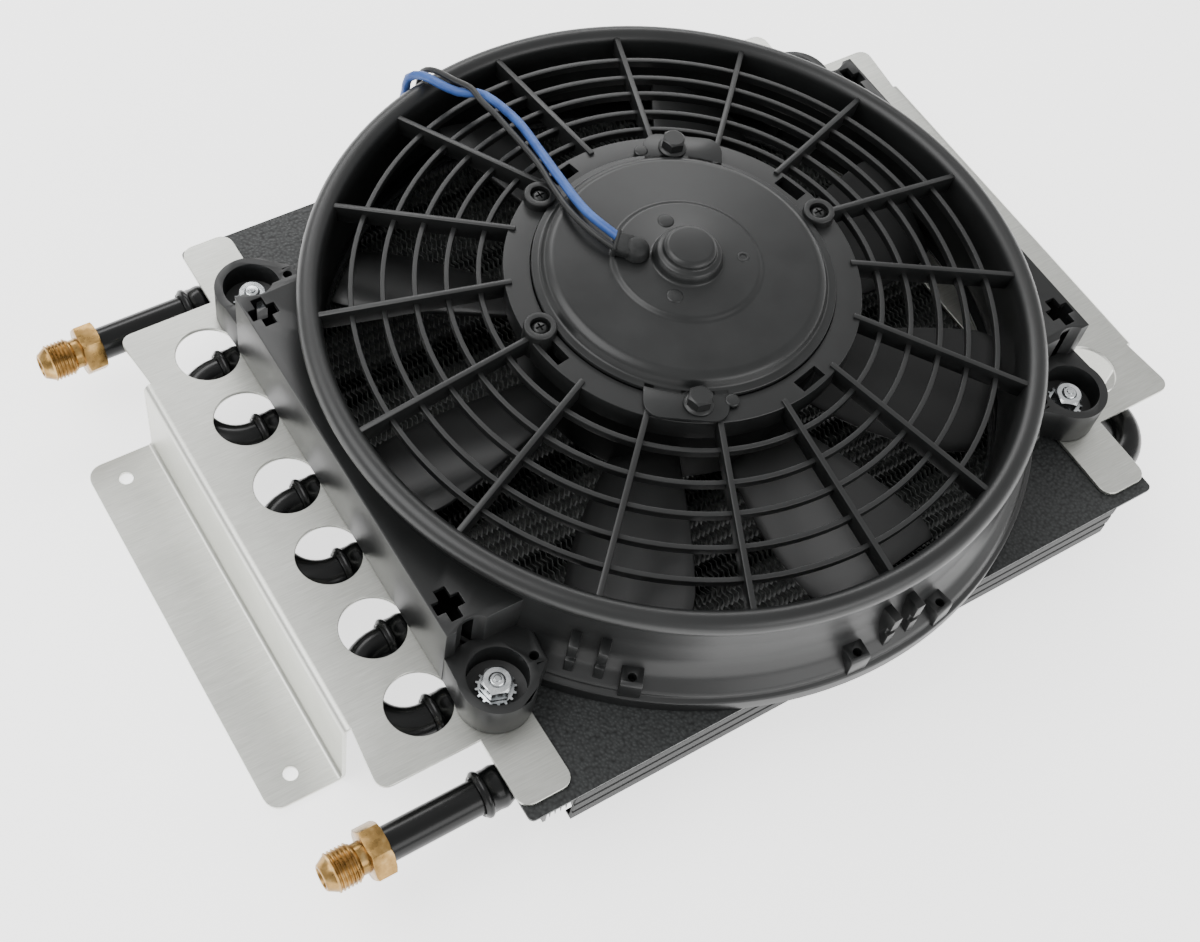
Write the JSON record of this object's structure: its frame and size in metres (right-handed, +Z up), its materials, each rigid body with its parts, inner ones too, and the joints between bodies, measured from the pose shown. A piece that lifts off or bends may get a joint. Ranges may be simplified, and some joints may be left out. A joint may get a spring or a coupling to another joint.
{
  "type": "hydraulic oil cooler",
  "caption": "Flat tube-and-fin hydraulic oil cooler with two folded mounting brackets, male flare ports and an electric fan on its face.",
  "frame": {"origin": "centre of the footprint at the underside of the bracket feet", "axes": "+Z up along the fan axis, +X from the port side to the plain side, +Y across the tubes"},
  "size_m": [0.4132, 0.3196, 0.1113],
  "materials": {
    "black_plastic": "satin black moulded nylon",
    "black_paint": "black powder coat",
    "dark_steel": "black coated steel",
    "fin_black": "black coated fins",
    "aluminium": "brushed sheet",
    "zinc": "bright zinc plate",
    "steel": "ground steel",
    "brass": "machined brass",
    "ferrite": "sintered ferrite",
    "copper": "wound copper on laminations",
    "rubber": "soft black rubber",
    "blue_wire": "blue wire insulation",
    "black_wire": "black wire insulation"
  },
  "bodies": {
    "cooler": {"hairpin_tube_1": "black_paint", "hairpin_tube_2": "black_paint", "hairpin_tube_3": "black_paint", "hairpin_tube_4": "black_paint", "return_bend_1": "black_paint", "return_bend_2": "black_paint", "return_bend_3": "black_paint", "port_stub_far": "black_paint", "port_stub_near": "black_paint", "flare_fitting_far": "brass", "flare_fitting_near": "brass", "fin_pack": "fin_black", "header_plate_left": "black_paint", "header_plate_right": "black_paint", "side_channel_near": "black_paint", "side_channel_far": "black_paint", "face_plate": "black_paint", "mounting_bracket_left": "aluminium", "mounting_bracket_right": "aluminium", "fan_shroud": "black_plastic", "fan_grille": "black_plastic", "motor_cover": "dark_steel", "motor_can": "dark_steel", "magnet_ring": "ferrite", "bearing_upper": "steel", "bearing_lower": "steel", "wire_grommet": "rubber", "flange_bolt_1": "dark_steel", "flange_bolt_2": "dark_steel", "ear_screw_1": "dark_steel", "ear_screw_2": "dark_steel", "ear_screw_3": "dark_steel", "wire_blue": "blue_wire", "wire_black": "black_wire", "mount_stud_near_left": "zinc", "lock_washer_near_left": "zinc", "mount_nut_near_left": "zinc", "mount_stud_far_left": "zinc", "lock_washer_far_left": "zinc", "mount_nut_far_left": "zinc", "mount_stud_near_right": "zinc", "lock_washer_near_right": "zinc", "mount_nut_near_right": "zinc", "mount_stud_far_right": "zinc", "lock_washer_far_right": "zinc", "mount_nut_far_right": "zinc"},
    "fan": {"fan_rotor": "black_plastic", "motor_shaft": "steel", "armature": "copper"}
  },
  "joints": [
    {"name": "fan_spin", "type": "hinge", "parent": "cooler", "child": "fan", "pos_m": [0, 0, 0.06], "axis": [0, 0, 1], "continuous": true}
  ]
}
